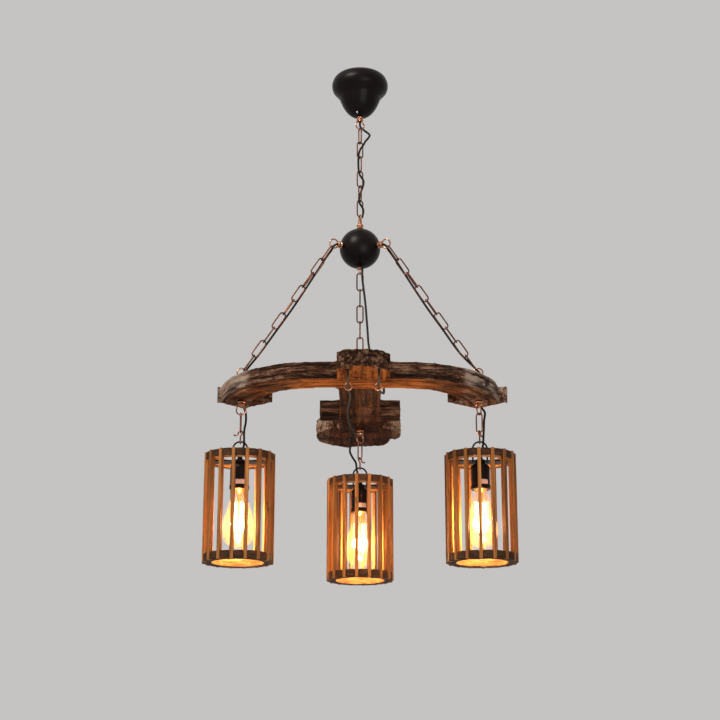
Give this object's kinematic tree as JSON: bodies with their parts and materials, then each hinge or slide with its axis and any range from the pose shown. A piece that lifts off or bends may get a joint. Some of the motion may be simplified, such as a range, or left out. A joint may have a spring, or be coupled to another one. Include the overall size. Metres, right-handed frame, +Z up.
{
  "type": "anchor chandelier",
  "caption": "Timber anchor hung level on chains from a ball hub and a bell-shaped canopy, with slatted cage shades on hooks, round filament bulbs and cords beside the chains.",
  "frame": {"origin": "middle of the ceiling plate's two screw holes, on the ceiling plane", "axes": "+Z up, -Y towards the crown of the anchor, +X to the right seen from the crown"},
  "size_m": [0.628, 0.701, 1.0861],
  "materials": {
    "zinc_steel": "plain zinc-plated steel",
    "green_steel": "green-dipped steel screw",
    "black_metal": "satin black paint with faint brown wear",
    "copper": "red copper plating, dark in the hollows",
    "bronze_wire": "dark bronze chain wire with rubbed copper edges",
    "black_cord": "round black sheathed cord",
    "hewn_timber": "rough-hewn dark stained timber, worn pale at the edges",
    "dowel_wood": "plain beech dowel",
    "dark_wood": "dark stained timber ring",
    "slat_wood": "mid brown stained slat with open grain",
    "porcelain": "cream moulded terminal block",
    "cap_brass": "rolled brass screw cap and filament wires",
    "amber_glass": "clear amber-tinted glass"
  },
  "bodies": {
    "canopy_set": {"ceiling_plate": "zinc_steel", "ground_screw": "green_steel", "nipple": "zinc_steel", "canopy": "black_metal", "canopy_loop": "copper", "terminal_block": "porcelain"},
    "top_chain_set": {"top_chain": "bronze_wire", "top_cord": "black_cord"},
    "anchor_frame": {"hub_ball": "black_metal", "hub_top_eye": "copper", "hub_side_eyes": "copper", "hub_bottom_eye": "copper", "left_chain": "bronze_wire", "right_chain": "bronze_wire", "rear_chain": "bronze_wire", "left_cord": "black_cord", "right_cord": "black_cord", "rear_cord": "black_cord", "crown_block": "hewn_timber", "arms": "hewn_timber", "left_fluke": "hewn_timber", "right_fluke": "hewn_timber", "shank": "hewn_timber", "stock": "hewn_timber", "end_disc": "hewn_timber", "dowels": "dowel_wood", "chain_eyes": "copper", "lamp_eyes": "copper", "cord_rings": "copper"},
    "left_link_set": {"left_link": "copper"},
    "left_hook_set": {"left_hook": "copper"},
    "left_lamp": {"left_drop_cord": "black_cord", "left_hanger": "black_metal", "left_top_ring": "dark_wood", "left_bottom_ring": "dark_wood", "left_slats": "slat_wood", "left_lampholder": "black_metal"},
    "left_lightbulb": {"left_bulb_base": "cap_brass", "left_bulb": "amber_glass"},
    "right_link_set": {"right_link": "copper"},
    "right_hook_set": {"right_hook": "copper"},
    "right_lamp": {"right_drop_cord": "black_cord", "right_hanger": "black_metal", "right_top_ring": "dark_wood", "right_bottom_ring": "dark_wood", "right_slats": "slat_wood", "right_lampholder": "black_metal"},
    "right_lightbulb": {"right_bulb_base": "cap_brass", "right_bulb": "amber_glass"},
    "rear_link_set": {"rear_link": "copper"},
    "rear_hook_set": {"rear_hook": "copper"},
    "rear_lamp": {"rear_drop_cord": "black_cord", "rear_hanger": "black_metal", "rear_top_ring": "dark_wood", "rear_bottom_ring": "dark_wood", "rear_slats": "slat_wood", "rear_lampholder": "black_metal"},
    "rear_lightbulb": {"rear_bulb_base": "cap_brass", "rear_bulb": "amber_glass"}
  },
  "joints": [
    {"name": "chain_swing", "type": "hinge", "parent": "canopy_set", "child": "top_chain_set", "pos_m": [0, 0, -0.125], "axis": [0.9063, 0.4226, 0], "range_deg": [-10, 10], "deforming": ["top_cord"]},
    {"name": "frame_swing", "type": "hinge", "parent": "top_chain_set", "child": "anchor_frame", "pos_m": [0, 0, -0.3257], "axis": [-0.4226, 0.9063, 0], "range_deg": [-10, 10]},
    {"name": "left_link_swing", "type": "hinge", "parent": "anchor_frame", "child": "left_link_set", "pos_m": [-0.242, -0.063, -0.78365], "axis": [1, 0, 0], "range_deg": [-12, 12], "deforming": ["left_drop_cord"]},
    {"name": "left_hook_swing", "type": "hinge", "parent": "left_link_set", "child": "left_hook_set", "pos_m": [-0.242, -0.063, -0.82065], "axis": [0, 1, 0], "range_deg": [-12, 12]},
    {"name": "left_lamp_swing", "type": "hinge", "parent": "left_hook_set", "child": "left_lamp", "pos_m": [-0.242, -0.063, -0.84335], "axis": [1, 0, 0], "range_deg": [-12, 12]},
    {"name": "left_bulb_turn", "type": "hinge", "parent": "left_lamp", "child": "left_lightbulb", "pos_m": [-0.242, -0.063, -0.93805], "axis": [0, 0, 1], "continuous": true},
    {"name": "right_link_swing", "type": "hinge", "parent": "anchor_frame", "child": "right_link_set", "pos_m": [0.242, -0.063, -0.78365], "axis": [0.5, 0.866, 0], "range_deg": [-12, 12], "deforming": ["right_drop_cord"]},
    {"name": "right_hook_swing", "type": "hinge", "parent": "right_link_set", "child": "right_hook_set", "pos_m": [0.242, -0.063, -0.82065], "axis": [-0.866, 0.5, 0], "range_deg": [-12, 12]},
    {"name": "right_lamp_swing", "type": "hinge", "parent": "right_hook_set", "child": "right_lamp", "pos_m": [0.242, -0.063, -0.84335], "axis": [1, 0, 0], "range_deg": [-12, 12]},
    {"name": "right_bulb_turn", "type": "hinge", "parent": "right_lamp", "child": "right_lightbulb", "pos_m": [0.242, -0.063, -0.93805], "axis": [0, 0, 1], "continuous": true},
    {"name": "rear_link_swing", "type": "hinge", "parent": "anchor_frame", "child": "rear_link_set", "pos_m": [0, 0.18961, -0.78365], "axis": [0.766, 0.6428, 0], "range_deg": [-12, 12], "deforming": ["rear_drop_cord"]},
    {"name": "rear_hook_swing", "type": "hinge", "parent": "rear_link_set", "child": "rear_hook_set", "pos_m": [0, 0.18961, -0.82065], "axis": [-0.6428, 0.766, 0], "range_deg": [-12, 12]},
    {"name": "rear_lamp_swing", "type": "hinge", "parent": "rear_hook_set", "child": "rear_lamp", "pos_m": [0, 0.18961, -0.84335], "axis": [1, 0, 0], "range_deg": [-12, 12]},
    {"name": "rear_bulb_turn", "type": "hinge", "parent": "rear_lamp", "child": "rear_lightbulb", "pos_m": [0, 0.18961, -0.93805], "axis": [0, 0, 1], "continuous": true}
  ]
}
